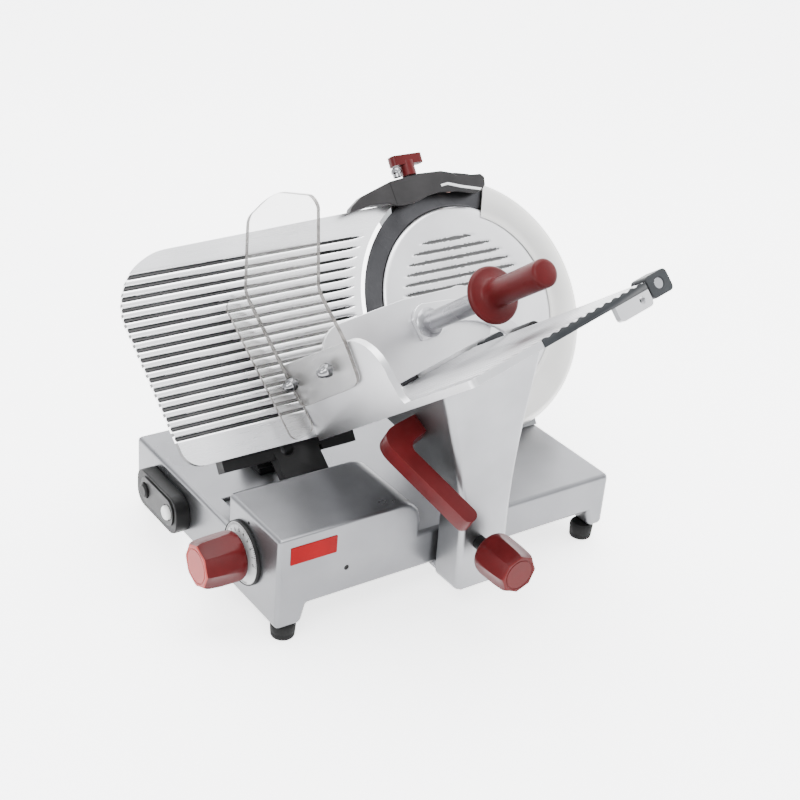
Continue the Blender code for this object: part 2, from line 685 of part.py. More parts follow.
def pusher():
    outline = [(11, 9), (12, 60)]
    outline += arc(46, 65, 35, 170, 90, 5)
    outline += [(135, 92), (205, 78)]
    outline += arc(208, 48, 30, 80, 0, 5)
    outline += [(238, 22), (226, 9)]
    face = plate("pusher_plate", from_rod(outline), 58, 62, PUSHER, BRIGHT)
    boolean(face, spike_strip(), "UNION", "MANIFOLD")
    arm = [(135, 40), (135, 66)]
    arm += arc(153, 60, 18, 150, 60, 4)
    arm += bend((190, 68), (240, 50), (267, 0), 6)
    arm += arc(PUSHER_ROD_D, PUSHER_ROD_W, 11, 20, -180, 8)
    arm += bend((245, 0), (225, 32), (185, 42), 5)
    arm += [(160, 36)]
    rod_hole = [circle(0, 0, 6 + GAP)]
    plate("pusher_arm", from_rod(arm), 62 + GAP, 68, PUSHER, BRIGHT, rod_hole)
    stem_axis = at(PUSHER, *from_rod([STEM])[0])
    turned("pusher_stem", disc(11.5, 68 + GAP, 194), stem_axis, BRIGHT, steps=28)
    grip = [(0, 295), (13, 295), (15.5, 291), (15.5, 280), (13.5, 250), (15.5, 204), (30, 202),
            (32, 199), (32, 195), (0, 195)]
    turned("pusher_grip", grip, stem_axis, RED, steps=32)


def spike_strip():
    """A toothed strip at the foot of the pusher that keeps food from turning."""
    teeth = []
    for index in range(9):
        start = 96 + 14 * index
        teeth += [(start, 17), (start + 4, 12), (start + 8, 17)]
    outline = teeth + [(222, 17), (222, 25), (96, 25)]
    return plate("pusher_spike_strip", from_rod(outline), 56, 59, PUSHER)


base_casting()
bottom_cover()
feet()
control_board()
cable_gland()
switch()
thickness_dial()
gauge_plate()
gauge_carrier()
gauge_support()
blade()
blade_cover()
ring_guard()
drive_housing()
mount_plate()
motor()
belt_drive()
blade_shaft()
cover_knob()
sharpener()
carriage_slide()
carriage_arm()
carriage_handle()
lock_knob()
food_tray()
hand_guard()
pusher_mount()
pusher()
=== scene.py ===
import json
import math

import bmesh
import bpy
from mathutils import Matrix, Vector


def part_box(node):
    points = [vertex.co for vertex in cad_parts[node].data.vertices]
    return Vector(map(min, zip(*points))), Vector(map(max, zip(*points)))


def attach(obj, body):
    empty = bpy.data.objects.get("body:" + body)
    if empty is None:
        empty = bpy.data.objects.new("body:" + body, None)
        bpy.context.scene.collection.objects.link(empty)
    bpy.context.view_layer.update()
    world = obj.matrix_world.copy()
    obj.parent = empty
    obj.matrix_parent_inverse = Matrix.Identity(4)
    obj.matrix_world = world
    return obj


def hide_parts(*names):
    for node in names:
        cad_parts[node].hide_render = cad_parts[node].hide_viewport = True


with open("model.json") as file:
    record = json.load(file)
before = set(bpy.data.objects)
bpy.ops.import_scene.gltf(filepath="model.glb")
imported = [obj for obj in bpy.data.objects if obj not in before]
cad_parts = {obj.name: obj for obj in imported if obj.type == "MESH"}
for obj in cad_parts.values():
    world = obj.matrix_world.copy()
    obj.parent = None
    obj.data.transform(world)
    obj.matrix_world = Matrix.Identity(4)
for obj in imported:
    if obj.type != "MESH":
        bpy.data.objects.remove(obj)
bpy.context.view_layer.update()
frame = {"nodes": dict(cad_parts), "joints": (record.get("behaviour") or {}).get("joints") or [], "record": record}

# Lengths are millimetres and the helpers turn them into metres. The machine frame has its
# origin under the base's front left corner, on the table. The tilted frames come from the
# joints: the blade's frame, the food tray's wall, floor and end frames, and the pusher's.
MM = 0.001
WELD = 1e-6                 # metres within which two points are one
GAP = 0.3                   # clearance between pieces that lie face to face
AXIS_HOLE = 0.01            # radius of the small cap that closes a turned shape on its axis
JOINTS = {joint["name"]: joint for joint in frame["joints"]}
BODY_OF = {node: body for body, nodes in frame["record"]["behaviour"]["bodies"].items()
           for node in nodes}
IDENTITY = Matrix.Identity(4)
BASE_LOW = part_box("base_casting")[0]

BLADE_R = 150.0
TRAY_SKEW = math.radians(12.75)
TRAY_PITCH = 12.7           # from one rib of the tray's floor to the next
TRAY_FIRST_RIB = 14.0
PLATE_PITCH = 11.3          # from one groove of the gauge plate to the next
TOP_GROOVE = 107.0
GROOVES = 17

X_AXIS = Vector(JOINTS["carriage_slide"]["axis"]).normalized()
BLADE_OUT = Vector(JOINTS["blade_spin"]["axis"]).normalized()
BLADE_UP = BLADE_OUT.cross(X_AXIS)
TRAY_D = X_AXIS * math.cos(TRAY_SKEW) + BLADE_UP * math.sin(TRAY_SKEW)
TRAY_W = BLADE_OUT.cross(TRAY_D)
CORNER = Vector((BASE_LOW.x, BASE_LOW.y, 0))
PUSHER_ROD_D = 256.0        # the pusher's rod and stem in the tray's end frame
PUSHER_ROD_W = -8.0
PUSHER_STEM_D = 153.0
PUSHER_STEM_W = 54.5
ROD_POINT = Vector(JOINTS["pusher_swing"]["pos_m"])
TRAY_CORNER = ROD_POINT - (TRAY_D * PUSHER_ROD_D + TRAY_W * PUSHER_ROD_W) * MM


def axes_at(origin, x_axis, y_axis):
    """Matrix of a frame whose Z is x_axis cross y_axis, with its origin in metres."""
    x_dir = Vector(x_axis).normalized()
    y_dir = Vector(y_axis).normalized()
    matrix = Matrix((x_dir, y_dir, x_dir.cross(y_dir))).transposed().to_4x4()
    matrix.translation = Vector(origin)
    return matrix


MACHINE = axes_at(CORNER, (1, 0, 0), (0, 1, 0))
FRONT = axes_at(CORNER, (1, 0, 0), (0, 0, 1))
SIDE = axes_at(CORNER, (0, 1, 0), (0, 0, 1))
BLADE = axes_at(JOINTS["blade_spin"]["pos_m"], X_AXIS, BLADE_UP)
TRAY_WALL = axes_at(TRAY_CORNER, BLADE_OUT, TRAY_W)
TRAY_FLOOR = axes_at(TRAY_CORNER, TRAY_D, BLADE_OUT)
TRAY_END = axes_at(TRAY_CORNER, TRAY_D, TRAY_W)
PUSHER = axes_at(ROD_POINT, TRAY_D, TRAY_W)


def at(matrix, x, y, z=0.0):
    """The same frame with its origin moved, in mm along its own axes."""
    return matrix @ Matrix.Translation((x * MM, y * MM, z * MM))


# ---------------------------------------------------------------- node materials

NOISE_LOW = 0.3             # most of a noise lies between these two
NOISE_HIGH = 0.7
EVEN = (1, 1, 1)            # a mapping that stretches nothing


class Graph:
    """A material's node tree, with short calls for the nodes that the materials share."""

    def __init__(self, name, roughness=0.4, metallic=0.0, **sockets):
        self.material = bpy.data.materials.new(name)
        self.material.use_nodes = True
        self.tree = self.material.node_tree
        self.shader = self.tree.nodes["Principled BSDF"]
        self.shader.inputs["Roughness"].default_value = roughness
        self.shader.inputs["Metallic"].default_value = metallic
        for socket, value in sockets.items():
            self.shader.inputs[socket.replace("_", " ")].default_value = value
        self.place = self.node("ShaderNodeTexCoord").outputs["Object"]

    def node(self, kind, **settings):
        made = self.tree.nodes.new(kind)
        for key, value in settings.items():
            setattr(made, key, value)
        return made

    def link(self, output, target):
        self.tree.links.new(output, target)

    def mapped(self, scale, frame_matrix=None):
        """Object coordinates, in a tilted frame if there is one, stretched by scale."""
        mapping = self.node("ShaderNodeMapping")
        mapping.inputs["Scale"].default_value = scale
        source = self.place
        if frame_matrix is not None:
            turn = self.node("ShaderNodeVectorRotate", rotation_type="EULER_XYZ", invert=True)
            turn.inputs["Rotation"].default_value = frame_matrix.to_euler("XYZ")
            move = self.node("ShaderNodeVectorMath", operation="SUBTRACT")
            move.inputs[1].default_value = frame_matrix.translation
            self.link(self.place, move.inputs[0])
            self.link(move.outputs[0], turn.inputs["Vector"])
            source = turn.outputs[0]
        self.link(source, mapping.inputs["Vector"])
        return mapping.outputs[0]

    def noise(self, vector, scale, detail):
        made = self.node("ShaderNodeTexNoise")
        made.inputs["Scale"].default_value = scale
        made.inputs["Detail"].default_value = detail
        self.link(vector, made.inputs["Vector"])
        return made.outputs["Fac"]

    def spread(self, value, low, high):
        """The middle of a noise's range spread over low to high."""
        made = self.node("ShaderNodeMapRange")
        made.inputs["From Min"].default_value = NOISE_LOW
        made.inputs["From Max"].default_value = NOISE_HIGH
        made.inputs["To Min"].default_value = low
        made.inputs["To Max"].default_value = high
        self.link(value, made.inputs["Value"])
        return made.outputs["Result"]

    def colours(self, value, dark, light):
        ramp = self.node("ShaderNodeValToRGB")
        ramp.color_ramp.elements[0].position = NOISE_LOW
        ramp.color_ramp.elements[0].color = (*dark, 1)
        ramp.color_ramp.elements[1].position = NOISE_HIGH
        ramp.color_ramp.elements[1].color = (*light, 1)
        self.link(value, ramp.inputs["Fac"])
        self.link(ramp.outputs["Color"], self.shader.inputs["Base Color"])

    def rough(self, value, low, high):
        self.link(self.spread(value, low, high), self.shader.inputs["Roughness"])

    def bump(self, height, strength, distance):
        made = self.node("ShaderNodeBump")
        made.inputs["Strength"].default_value = strength
        made.inputs["Distance"].default_value = distance
        self.link(height, made.inputs["Height"])
        self.link(made.outputs["Normal"], self.shader.inputs["Normal"])


def brushed_metal(name, dark, light, rough, frame_matrix=None, stretch=(1.5, 60, 60)):
    """Metal with a fine grain drawn out along the axis that is stretched least."""
    graph = Graph(name, metallic=1.0)
    grain = graph.noise(graph.mapped(stretch, frame_matrix), 12, 6)
    clouds = graph.noise(graph.mapped(EVEN, frame_matrix), 14, 3)
    graph.colours(clouds, dark, light)
    graph.rough(grain, rough[0], rough[1])
    graph.bump(grain, 0.02, 0.00004)
    return graph.material


def cast_metal(name, dark, light, rough):
    """Satin cast metal: a soft mottled sheen and a very fine blasted surface."""
    graph = Graph(name, metallic=0.92)
    fine = graph.noise(graph.mapped(EVEN), 1400, 3)
    clouds = graph.noise(graph.mapped(EVEN), 9, 4)
    graph.colours(clouds, dark, light)
    graph.rough(clouds, rough[0], rough[1])
    graph.bump(fine, 0.1, 0.0003)
    return graph.material


def ringed_metal(name, dark, light, rough):
    """Turned steel with fine rings round the blade's axis."""
    graph = Graph(name, metallic=1.0)
    local = graph.mapped((1, 1, 0), BLADE)
    length = graph.node("ShaderNodeVectorMath", operation="LENGTH")
    graph.link(local, length.inputs[0])
    radius = graph.node("ShaderNodeCombineXYZ")
    graph.link(length.outputs["Value"], radius.inputs["X"])
    rings = graph.noise(radius.outputs[0], 2600, 2)
    clouds = graph.noise(graph.mapped(EVEN, BLADE), 18, 3)
    graph.colours(clouds, dark, light)
    graph.rough(rings, rough[0], rough[1])
    graph.bump(rings, 0.18, 0.0004)
    return graph.material


def plastic(name, dark, light, rough, grain=1800.0, depth=0.12, **sockets):
    """Moulded plastic with a fine grain and a slightly uneven colour."""
    graph = Graph(name, **sockets)
    fine = graph.noise(graph.mapped(EVEN), grain, 2)
    clouds = graph.noise(graph.mapped(EVEN), 30, 4)
    graph.colours(clouds, dark, light)
    graph.rough(clouds, rough[0], rough[1])
    graph.bump(fine, depth, 0.0003)
    return graph.material


def clear_sheet(name, alpha, dark, light, rough):
    """Clear polycarbonate as a thin veil, with light wipe marks in its gloss."""
    graph = Graph(name, Alpha=alpha, IOR=1.45)
    wipes = graph.noise(graph.mapped((20, 3, 3), TRAY_WALL), 8, 4)
    graph.colours(wipes, dark, light)
    graph.rough(wipes, rough[0], rough[1])
    return graph.material


CAST = cast_metal("cast_aluminium", (0.12, 0.122, 0.128), (0.165, 0.167, 0.174), (0.26, 0.34))
ARM_CAST = brushed_metal("arm_aluminium", (0.19, 0.192, 0.199), (0.24, 0.243, 0.251),
                         (0.34, 0.38), stretch=(60, 60, 1.5))
PLATE_METAL = brushed_metal("gauge_aluminium", (0.78, 0.78, 0.79), (0.88, 0.88, 0.89),
                            (0.26, 0.31), BLADE)
# Painted shade: a dark copy of the gauge plate's aluminium for the faces deep in its grooves, in place of the
# shade and dark reflections there.
GROOVE_SHADE_METAL = brushed_metal("groove_painted_shade_aluminium", (0.05, 0.05, 0.05), (0.08, 0.08, 0.08),
                             (0.3, 0.45), BLADE)
# Painted shade: a near-black copy of the cover's aluminium for the faces down in the cover's grooves.
COVER_GROOVE_SHADE = cast_metal("cover_groove_painted_shade_aluminium", (0.045, 0.045, 0.045), (0.07, 0.07, 0.07),
                         (0.35, 0.45))
COVER_METAL = cast_metal("cover_aluminium", (0.5, 0.5, 0.51), (0.6, 0.6, 0.61), (0.28, 0.36))
STEM_METAL = cast_metal("stem_aluminium", (0.2, 0.2, 0.21), (0.26, 0.26, 0.27), (0.24, 0.32))
GUARD_METAL = cast_metal("ring_guard_aluminium", (0.46, 0.455, 0.44), (0.54, 0.535, 0.52),
                         (0.4, 0.48))
TRAY_METAL = brushed_metal("tray_aluminium", (0.46, 0.46, 0.47), (0.54, 0.54, 0.55),
                           (0.31, 0.35), TRAY_FLOOR, (60, 1.5, 60))
PEDESTAL = cast_metal("pedestal_aluminium", (0.12, 0.125, 0.13), (0.17, 0.175, 0.18),
                      (0.35, 0.45))
BLADE_STEEL = ringed_metal("blade_steel", (0.03, 0.03, 0.032), (0.06, 0.06, 0.063),
                           (0.26, 0.38))
STEEL = brushed_metal("ground_steel", (0.3, 0.305, 0.32), (0.4, 0.405, 0.42), (0.14, 0.24))
CHROME = brushed_metal("chrome", (0.14, 0.14, 0.145), (0.2, 0.2, 0.205), (0.05, 0.1))
RED = plastic("red_plastic", (0.04, 0.0022, 0.0026), (0.058, 0.0034, 0.004), (0.3, 0.4),
              Specular_IOR_Level=0.12)
# Painted sheen: a far lighter, pinker copy of the red plastic for the thickness knob's flat end face, in place of
# the white sheen on it.
RED_SHEEN_FACE = plastic("red_end_face_painted_sheen", (0.2, 0.03, 0.027), (0.27, 0.045, 0.04), (0.4, 0.5),
                   Specular_IOR_Level=0.12)
LOCK_FACE = plastic("red_lock_face", (0.05, 0.003, 0.003), (0.07, 0.005, 0.005), (0.45, 0.55),
                    Specular_IOR_Level=0.12)
RED_PLATE = plastic("red_plate", (0.13, 0.0012, 0.0025), (0.17, 0.0018, 0.0035), (0.45, 0.55),
                    Specular_IOR_Level=0.05)
DARK = plastic("dark_grey_plastic", (0.009, 0.0085, 0.0088), (0.016, 0.015, 0.0155),
               (0.38, 0.5), Specular_IOR_Level=0.16)
SLATE = plastic("slate_plastic", (0.008, 0.009, 0.0105), (0.014, 0.016, 0.018), (0.35, 0.45),
                Specular_IOR_Level=0.2)
BLACK = plastic("black_plastic", (0.0025, 0.0025, 0.0026), (0.005, 0.005, 0.005), (0.35, 0.5),
                Specular_IOR_Level=0.14)
RUBBER = plastic("black_rubber", (0.003, 0.003, 0.003), (0.007, 0.007, 0.007), (0.6, 0.8),
                 900, 0.3, Specular_IOR_Level=0.12)
WHITE = plastic("white_plastic", (0.42, 0.42, 0.41), (0.5, 0.5, 0.49), (0.3, 0.42))
DIAL = plastic("dial_silver", (0.3, 0.303, 0.306), (0.36, 0.363, 0.366), (0.32, 0.45))
FACE = plastic("switch_face_grey", (0.012, 0.012, 0.012), (0.02, 0.02, 0.02), (0.35, 0.5),
               Specular_IOR_Level=0.2)
CLEAR = clear_sheet("clear_plastic", 0.17, (0.2, 0.195, 0.185), (0.28, 0.275, 0.265),
                    (0.02, 0.06))
# Painted shade: a dark, nearly opaque copy of the clear plastic for the guard's edge faces, which look dark
# through the sheet.
CLEAR_EDGE_SHADE = clear_sheet("clear_plastic_edge_painted_shade", 0.92, (0.03, 0.025, 0.022),
                         (0.16, 0.15, 0.14), (0.1, 0.2))
BRONZE = brushed_metal("bronze", (0.42, 0.26, 0.1), (0.5, 0.32, 0.14), (0.25, 0.4))
STONE = plastic("grinding_stone", (0.3, 0.18, 0.15), (0.42, 0.27, 0.23), (0.8, 0.95), 700, 0.6)
COPPER = brushed_metal("copper_winding", (0.42, 0.15, 0.06), (0.6, 0.25, 0.12), (0.3, 0.5),
                       stretch=(60, 60, 60))
BOARD = plastic("circuit_board", (0.01, 0.09, 0.03), (0.02, 0.14, 0.05), (0.3, 0.5))


# ---------------------------------------------------------------- modelling helpers

def settle(obj, name, matrix, material, body, nodes=()):
    """Names a piece, gives it a material if it has none, and makes it ride on its body."""
    obj.name = name
    obj.data.name = name
    obj.matrix_world = matrix
    if obj.name not in bpy.context.scene.collection.objects:
        bpy.context.scene.collection.objects.link(obj)
    if not obj.data.materials:
        obj.data.materials.append(material)
    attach(obj, body)
    if nodes:
        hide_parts(*nodes)
    return obj


def smooth(obj, degrees=35):
    """Smooth shading that breaks at edges sharper than an angle."""
    obj.data.shade_smooth()
    obj.data.set_sharp_from_angle(angle=math.radians(degrees))
    return obj


def baked(obj):
    """The evaluated object as a plain mesh object, with its source removed."""
    if obj.name not in bpy.context.scene.collection.objects:
        bpy.context.scene.collection.objects.link(obj)
    bpy.context.view_layer.update()
    graph = bpy.context.evaluated_depsgraph_get()
    mesh = bpy.data.meshes.new_from_object(obj.evaluated_get(graph), depsgraph=graph)
    bpy.data.objects.remove(obj, do_unlink=True)
    work = bmesh.new()
    work.from_mesh(mesh)
    bmesh.ops.remove_doubles(work, verts=work.verts, dist=WELD)
    bmesh.ops.recalc_face_normals(work, faces=work.faces)
    work.to_mesh(mesh)
    work.free()
    return bpy.data.objects.new("baked", mesh)


def plate(outline, low, high):
    """A flat outline in XY, solid from low to high along Z."""
    curve = bpy.data.curves.new("outline", "CURVE")
    curve.dimensions = "2D"
    curve.fill_mode = "BOTH"
    curve.extrude = (high - low) / 2 * MM
    spline = curve.splines.new("POLY")
    spline.points.add(len(outline) - 1)
    spline.use_cyclic_u = True
    for point, (x, y) in zip(spline.points, outline):
        point.co = (x * MM, y * MM, 0, 1)
    obj = baked(bpy.data.objects.new("outline", curve))
    obj.data.transform(Matrix.Translation((0, 0, (high + low) / 2 * MM)))
    return obj


def mesh_object(verts, faces):
    """An object with these vertices, in mm, and faces, all facing outwards."""
    mesh = bpy.data.meshes.new("mesh")
    mesh.from_pydata([Vector(vert) * MM for vert in verts], [], faces)
    work = bmesh.new()
    work.from_mesh(mesh)
    bmesh.ops.recalc_face_normals(work, faces=work.faces)
    work.to_mesh(mesh)
    work.free()
    return bpy.data.objects.new("mesh", mesh)


def loft(rings, caps=True):
    """A skin through closed rings that have equal numbers of points."""
    count = len(rings[0])
    verts = [point for ring_points in rings for point in ring_points]
    faces = []
    for level in range(len(rings) - 1):
        for index in range(count):
            after = (index + 1) % count
            low = level * count
            high = low + count
            faces.append((low + index, low + after, high + after, high + index))
    if caps:
        faces.append(tuple(reversed(range(count))))
        faces.append(tuple(range(len(verts) - count, len(verts))))
    return mesh_object(verts, faces)


def turned(profile, steps=96, start=0.0, sweep=360.0):
    """A closed profile of (radius, height) points swept round Z, with ends if it is partial."""
    whole = sweep == 360.0
    rings = []
    for index in range(steps if whole else steps + 1):
        angle = math.radians(start + sweep * index / steps)
        rings.append([(r * math.cos(angle), r * math.sin(angle), z) for r, z in profile])
    if whole:
        rings.append(rings[0])
    return baked(loft(rings, caps=not whole))


def spun(profile, steps=64):
    """An open profile of (radius, height) points, from axis to axis, turned round Z."""
    rings = []
    for radius, height in profile:
        reach = max(radius, AXIS_HOLE)
        ring_points = []
        for index in range(steps):
            angle = 2 * math.pi * index / steps
            ring_points.append((reach * math.cos(angle), reach * math.sin(angle), height))
        rings.append(ring_points)
    return loft(rings)


def bevelled(obj, width, segments=3, degrees=35):
    """The object with its edges rounded."""
    bevel = obj.modifiers.new("soften", "BEVEL")
    bevel.width = width * MM
    bevel.segments = segments
    bevel.limit_method = "ANGLE"
    bevel.angle_limit = math.radians(degrees)
    return smooth(baked(obj), 50)


def cut(obj, other):
    """obj with other cut away from it, and other removed."""
    for item in (obj, other):
        if item.name not in bpy.context.scene.collection.objects:
            bpy.context.scene.collection.objects.link(item)
    modifier = obj.modifiers.new("cut", "BOOLEAN")
    modifier.operation = "DIFFERENCE"
    modifier.object = other
    modifier.solver = "MANIFOLD"
    result = baked(obj)
    bpy.data.objects.remove(other, do_unlink=True)
    return result


def arc(centre_x, centre_y, radius, start, end, steps):
    """Points of an arc from one angle to another, in degrees."""
    points = []
    for index in range(steps + 1):
        angle = math.radians(start + (end - start) * index / steps)
        points.append((centre_x + radius * math.cos(angle), centre_y + radius * math.sin(angle)))
    return points


def rectangle(x_low, x_high, y_low, y_high, corner, steps=8):
    """A rectangle's outline with round corners."""
    points = arc(x_low + corner, y_low + corner, corner, 180, 270, steps)
    points += arc(x_high - corner, y_low + corner, corner, 270, 360, steps)
    points += arc(x_high - corner, y_high - corner, corner, 0, 90, steps)
    points += arc(x_low + corner, y_high - corner, corner, 90, 180, steps)
    return points


def bend(first, control, last, steps):
    """Points of a quadratic curve that is pulled towards its control point."""
    points = []
    for index in range(steps + 1):
        part = index / steps
        weights = ((1 - part) ** 2, 2 * part * (1 - part), part ** 2)
        corners = zip(first, control, last)
        points.append(tuple(sum(w * c for w, c in zip(weights, corner)) for corner in corners))
    return points


def rows(lines, low, depth_at, steps):
    """A sheet of rows (y, x start, x end), finer towards both ends, over a flat back."""
    rings = []
    for y, start, end in lines:
        ring_points = []
        for index in range(steps + 1):
            part = 0.5 - 0.5 * math.cos(math.pi * index / steps)
            x = start + (end - start) * part
            ring_points.append((x, y, -depth_at(x, y)))
        ring_points += [(end, y, low), (start, y, low)]
        rings.append(ring_points)
    return loft(rings)


def groove_depth(x, y, first, pitch, count, half, depth, fade):
    """Depth at a point of parallel soft grooves, whose share of it fades along x."""
    number = round((first - y) / pitch)
    if number < 0 or number >= count:
        return 0.0
    centre = first - pitch * number
    share = fade(x, centre)
    if share <= 0:
        return 0.0
    across = abs(y - centre) / (half * share)
    return depth * share * (1 - across ** 2) ** 2 if across < 1 else 0.0


def second_material(obj, material, second, chosen):
    """Gives an object two materials, the second on the faces that chosen(face) picks."""
    obj.data.materials.append(material)
    obj.data.materials.append(second)
    for face in obj.data.polygons:
        if chosen(face):
            face.material_index = 1
    return obj


def rounded(outline, radius, steps=6):
    """The outline with its corners rounded as far as its sides allow."""
    points = []
    count = len(outline)
    for index in range(count):
        before = Vector(outline[index - 1])
        corner = Vector(outline[index])
        after = Vector(outline[(index + 1) % count])
        reach = min(radius, (before - corner).length / 2.2, (after - corner).length / 2.2)
        first = corner + (before - corner).normalized() * reach
        last = corner + (after - corner).normalized() * reach
        points += bend(tuple(first), tuple(corner), tuple(last), steps)
    return points


def faceted_knob(radius, low, high, end_face):
    """A hand knob: a round base, hollow flats that lean inwards and a ringed end face.

    Each level is (share of the height, round radius, radius at the flats, how hollow the
    flats are), with radii as shares of the knob's. A flat radius of 2 means no flats.
    """
    sides = 8
    per_side = 16
    levels = [(0.0, 0.84, 2.0, 0.0), (0.02, 0.92, 2.0, 0.0), (0.07, 0.97, 0.98, 0.0),
              (0.16, 1.0, 0.96, 0.2), (0.3, 1.0, 0.945, 0.6), (0.6, 1.0, 0.92, 1.0),
              (0.85, 0.985, 0.885, 1.0), (0.93, 0.94, 0.86, 0.7), (0.98, 0.88, 0.82, 0.4),
              (1.0, 0.81, 0.77, 0.1), (1.0, 0.7, 0.7, 0.0), (0.985, 0.69, 2.0, 0.0),
              (0.985, 0.66, 2.0, 0.0), (1.0, 0.65, 2.0, 0.0), (1.0, 0.02, 2.0, 0.0)]
    steps = sides * per_side
    rings = []
    for along, round_part, flat_part, hollow in levels:
        ring_points = []
        for index in range(steps):
            angle = 2 * math.pi * index / steps
            across = (index / per_side) % 1 * 2 - 1
            flat = radius * flat_part / math.cos(across * math.pi / sides)
            flat -= hollow * 0.9 * (1 - across ** 2)
            reach = min(radius * round_part, flat)
            ring_points.append((reach * math.cos(angle), reach * math.sin(angle),
                                low + (high - low) * along))
        rings.append(ring_points)
    end = (low + (high - low) * 0.982) * MM
    return second_material(smooth(loft(rings), 28), RED, end_face, lambda face: face.center.z > end)


def copy_of(node, width=0.5, degrees=35):
    """A CAD node's shape welded, with its flat faces made whole and its edges rounded."""
    mesh = frame["nodes"][node].data.copy()
    mesh.materials.clear()
    work = bmesh.new()
    work.from_mesh(mesh)
    bmesh.ops.remove_doubles(work, verts=work.verts, dist=WELD)
    bmesh.ops.dissolve_limit(work, angle_limit=math.radians(1.0), verts=work.verts,
                             edges=work.edges)
    work.to_mesh(mesh)
    work.free()
    obj = bpy.data.objects.new(node + "_fine", mesh)
    if width:
        return bevelled(obj, width, 2, degrees)
    return smooth(obj, degrees)


def refine(material, *nodes, width=0.5, degrees=35):
    """Replaces CAD nodes by finer copies, shaded so that large flat faces stay flat."""
    for node in nodes:
        fine = settle(copy_of(node, width, degrees), node + "_fine", IDENTITY, material,
                      BODY_OF[node], [node])
        weighted = fine.modifiers.new("even_shading", "WEIGHTED_NORMAL")
        weighted.keep_sharp = True


# ---------------------------------------------------------------- base and controls

def base():
    """The casting and the blade's pedestal, with a plain red plate and a screw in front."""
    refine(CAST, "base_casting", width=0.0, degrees=50)
    refine(PEDESTAL, "drive_housing", width=2.0)
    badge = bevelled(plate(rectangle(14, 70, 97, 118, 1), -0.3, 0.35), 0.15, 2)
    settle(badge, "plain_plate", FRONT, RED_PLATE, "frame")
    screw = smooth(spun([(0, -0.8), (1.4, -0.8), (1.5, -0.3), (2.9, -0.3), (3.0, -2.5),
                         (0, -2.5)], 24))
    settle(screw, "front_screw", at(FRONT, 84, 73), BLACK, "frame")


def feet():
    """Rubber feet with a groove near the top and a hollow underneath."""
    for node in ("foot_front_left", "foot_front_right", "foot_rear_left", "foot_rear_right"):
        low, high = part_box(node)
        top = (high.z - low.z) / MM
        profile = [(0, top), (12, top), (13.6, top - 2.5), (14, top - 4), (13.5, 7), (13.2, 6.4),
                   (13.4, 5.8), (13, 1.6), (12.4, 0.5), (11.3, 0), (5, 0), (4.6, 0.8), (0, 0.8)]
        middle = (low + high) / 2
        foot = smooth(spun(profile, 48))
        settle(foot, node + "_fine", Matrix.Translation((middle.x, middle.y, low.z)), RUBBER,
               "frame", [node])


DIAL_FACE = 4.45            # height of the dial's marks
TICKS = 75
TICKS_PER_TURN = 90
TICKS_PER_NUMBER = 5
NUMBER_RADIUS = 26.3
INDEX_PLACE = (63, 117.5)   # the fixed index dot beside the dial


def controls():
    """The thickness knob and its graduated dial."""
    dial = axes_at(JOINTS["thickness_turn"]["pos_m"], (0, 1, 0), (0, 0, 1))
    outward = dial @ Matrix.Rotation(math.pi, 4, "Y")
    # The knob's end face gets the painted sheen: a lighter pink copy of the red plastic.
    settle(faceted_knob(28, 9, 57, RED_SHEEN_FACE), "thickness_knob_fine", outward, RED,
           "thickness_control", ["thickness_knob"])
    face = smooth(turned([(34.4, GAP), (34.4, 4.2), (30, 4.4), (9, 4.4), (9, GAP)], 96))
    settle(face, "dial_ring_fine", outward, DIAL, "thickness_control", ["dial_ring"])
    rim = smooth(turned([(36, 0.6), (36, 4.0), (35.4, 4.9), (34.8, 4.9), (34.4, 4.2),
                         (34.4, 0.6)], 96))
    settle(rim, "dial_rim", outward, BLACK, "thickness_control")
    dial_marks(outward)
    dial_numbers(outward)
    pointer = bevelled(plate(arc(*INDEX_PLACE, 1.6, 0, 360, 16)[:-1], -0.2, 0.3), 0.1, 1)
    settle(pointer, "dial_index", at(SIDE, 0, 0, -0.3), BLACK, "frame")


def dial_marks(outward):
    """Short radial ticks, with every fifth one longer."""
    verts = []
    faces = []
    outer = 33.6
    half_width = 0.34
    for index in range(TICKS):
        angle = 2 * math.pi * index / TICKS_PER_TURN
        inner = 29.6 if index % TICKS_PER_NUMBER == 0 else 31.2
        side = Vector((-math.sin(angle), math.cos(angle), 0)) * half_width
        ray = Vector((math.cos(angle), math.sin(angle), 0))
        low = len(verts)
        for reach, sign in ((inner, -1), (outer, -1), (outer, 1), (inner, 1)):
            verts.append(ray * reach + side * sign + Vector((0, 0, DIAL_FACE)))
        faces.append((low, low + 1, low + 2, low + 3))
    settle(mesh_object(verts, faces), "dial_marks", outward, BLACK, "thickness_control")


def dial_numbers(outward):
    """Numbers from 0 that go round with the long ticks."""
    for index in range(TICKS // TICKS_PER_NUMBER):
        angle = 2 * math.pi * index * TICKS_PER_NUMBER / TICKS_PER_TURN
        text = bpy.data.curves.new("number", "FONT")
        text.body = str(index)
        text.size = 6.0 * MM
        text.align_x = "CENTER"
        text.align_y = "CENTER"
        text.extrude = 0.03 * MM
        text.offset = 0.12 * MM
        number = baked(bpy.data.objects.new("number", text))
        turn = Matrix.Rotation(angle, 4, "Z")
        reach = Matrix.Translation((NUMBER_RADIUS * MM, 0, DIAL_FACE * MM))
        upright = Matrix.Rotation(-math.pi / 2, 4, "Z")
        settle(number, f"dial_number_{index}", outward @ turn @ reach @ upright, BLACK,
               "thickness_control")


def switch():
    """The switch box on the left end, with its black and white buttons."""
    refine(BLACK, "switch_housing", width=2.5)
    refine(FACE, "switch_face_plate", width=0.6)
    refine(BLACK, "start_button", width=0.8)
    refine(WHITE, "stop_button", width=0.8)


# ---------------------------------------------------------------- gauge, blade and drive

